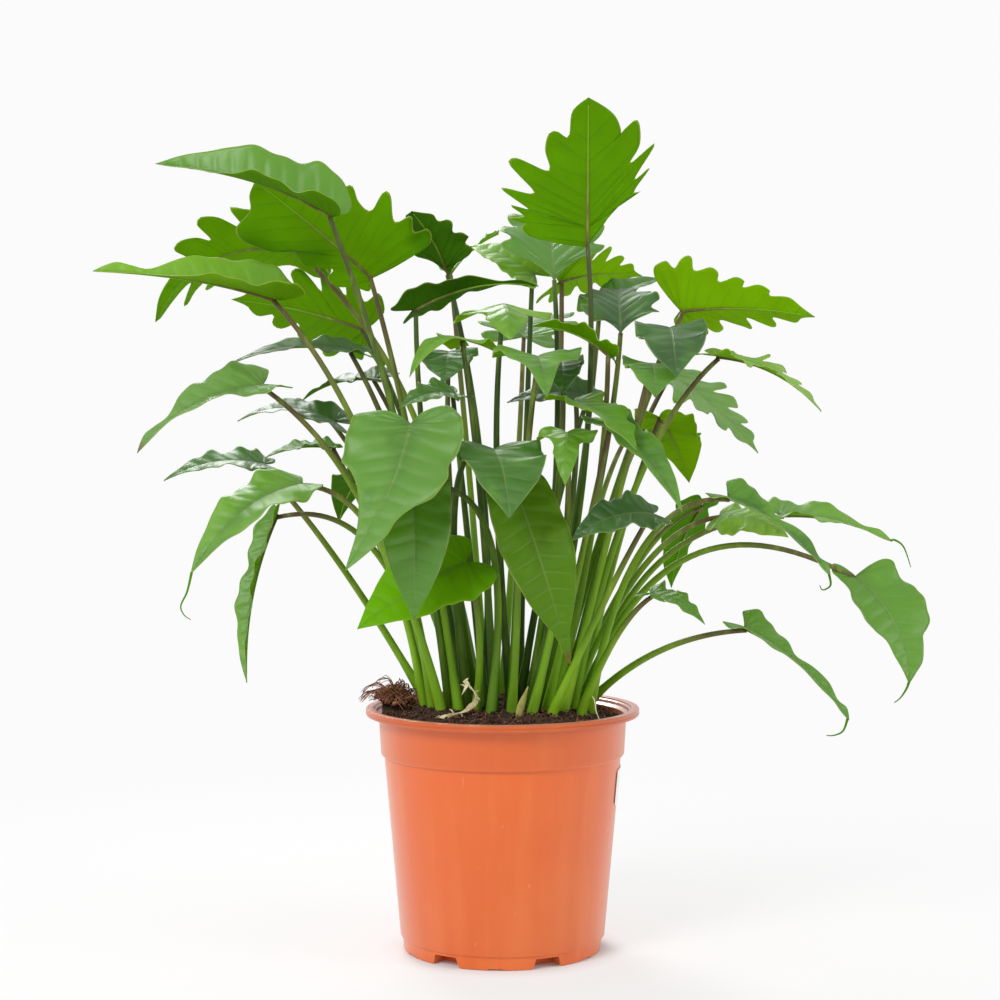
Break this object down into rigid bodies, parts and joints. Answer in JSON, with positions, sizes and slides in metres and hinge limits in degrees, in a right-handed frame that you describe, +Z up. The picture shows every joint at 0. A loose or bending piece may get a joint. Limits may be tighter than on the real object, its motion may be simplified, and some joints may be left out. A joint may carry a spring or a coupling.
{
  "type": "potted philodendron",
  "caption": "Potted xanadu philodendron: a dense clump of lobed, arrow-shaped green leaves on long arching stalks, in a terracotta-coloured plastic nursery pot.",
  "frame": {"origin": "middle of the pot's underside, on the surface it stands on", "axes": "+Z up; the viewer of the picture stands on the -Y side, and +X is to their right"},
  "size_m": [0.5548, 0.3854, 0.5781],
  "materials": {
    "pot_plastic": "satin",
    "compost": "rough",
    "coir": "rough",
    "husk": "matte",
    "sticker_film": "satin",
    "leaf_green": "satin",
    "leaf_lime": "satin",
    "leaf_dark": "satin"
  },
  "bodies": {
    "root": {"pot": "pot_plastic", "soil": "compost", "coir_roots": "coir", "dried_sheath": "husk", "sticker": "sticker_film", "leaf_top": "leaf_green", "leaf_fan_behind": "leaf_green", "leaf_lime_right": "leaf_lime", "leaf_pale_left": "leaf_lime", "leaf_pale_back": "leaf_green", "leaf_fan_under": "leaf_dark", "leaf_long_dark": "leaf_dark", "leaf_big_left": "leaf_green", "leaf_high_left": "leaf_green", "leaf_lobed_left": "leaf_green", "leaf_edge_left": "leaf_lime", "leaf_lobed_mid_left": "leaf_green", "leaf_dark_left": "leaf_dark", "leaf_pale_long_left": "leaf_green", "leaf_back_left_a": "leaf_dark", "leaf_back_left_b": "leaf_dark", "leaf_low_left_a": "leaf_green", "leaf_low_left_b": "leaf_dark", "leaf_big_low_left": "leaf_green", "leaf_hanging_left": "leaf_green", "leaf_heart_front": "leaf_green", "leaf_heart_second": "leaf_green", "leaf_lime_low": "leaf_lime", "leaf_heart_mid": "leaf_green", "leaf_curly_mid": "leaf_lime", "leaf_pointed_mid": "leaf_green", "leaf_right_low": "leaf_dark", "leaf_blue_right": "leaf_green", "leaf_bright_edge": "leaf_lime", "leaf_yellow_right": "leaf_lime", "leaf_arch_a": "leaf_green", "leaf_arch_b": "leaf_lime", "leaf_arch_far": "leaf_green", "leaf_heart_far": "leaf_green", "leaf_arch_low": "leaf_green", "leaf_small_low": "leaf_green", "leaf_lobed_right": "leaf_lime", "leaf_vee_right": "leaf_dark", "leaf_back_right_a": "leaf_green", "leaf_dark_right": "leaf_dark", "leaf_left_pointing": "leaf_green", "leaf_fold_right": "leaf_green", "leaf_thin_right": "leaf_lime", "leaf_lobed_low_right": "leaf_green", "leaf_curly_lime": "leaf_lime", "leaf_curly_top": "leaf_lime", "leaf_heart_top": "leaf_green", "leaf_dark_heart": "leaf_dark", "leaf_inner_left_a": "leaf_dark", "leaf_inner_left_b": "leaf_green", "leaf_hang_right": "leaf_green", "leaf_inner_low": "leaf_dark", "leaf_back_high": "leaf_green", "leaf_back_wide": "leaf_green", "leaf_back_deep": "leaf_dark"}
  },
  "joints": []
}
